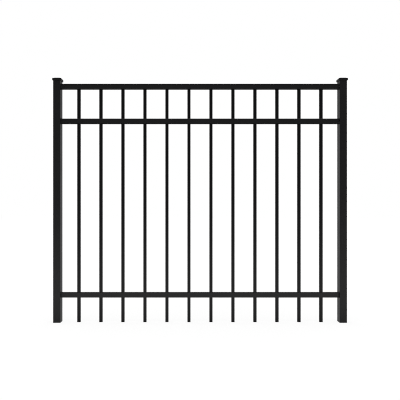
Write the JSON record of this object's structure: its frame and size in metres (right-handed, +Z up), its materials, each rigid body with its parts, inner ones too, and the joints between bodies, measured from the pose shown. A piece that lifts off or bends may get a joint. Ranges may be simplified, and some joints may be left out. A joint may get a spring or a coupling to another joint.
{
  "type": "aluminium fence gate leaf",
  "caption": "Flat-top gate leaf for an aluminium picket fence: capped tube uprights, channel rails with a narrow frieze at the top, and square pickets, all in black powder coat.",
  "frame": {"origin": "on the hinge upright's outer face, at its foot, midway through its depth", "axes": "+X across the leaf from the hinge side to the latch side, +Y from the front to the back, +Z up"},
  "size_m": [1.4812, 0.0588, 1.2304],
  "materials": {
    "upright_coat": "extruded tube, satin black powder coat",
    "rail_coat": "extruded channel, satin black powder coat",
    "picket_coat": "extruded tube, satin black powder coat",
    "cap_coat": "die casting, satin black powder coat"
  },
  "bodies": {
    "root": {"hinge_upright": "upright_coat", "latch_upright": "upright_coat", "hinge_upright_cap": "cap_coat", "latch_upright_cap": "cap_coat", "bottom_rail": "rail_coat", "middle_rail": "rail_coat", "top_rail": "rail_coat", "picket_01": "picket_coat", "picket_02": "picket_coat", "picket_03": "picket_coat", "picket_04": "picket_coat", "picket_05": "picket_coat", "picket_06": "picket_coat", "picket_07": "picket_coat", "picket_08": "picket_coat", "picket_09": "picket_coat", "picket_10": "picket_coat", "picket_11": "picket_coat", "picket_12": "picket_coat"}
  },
  "joints": []
}
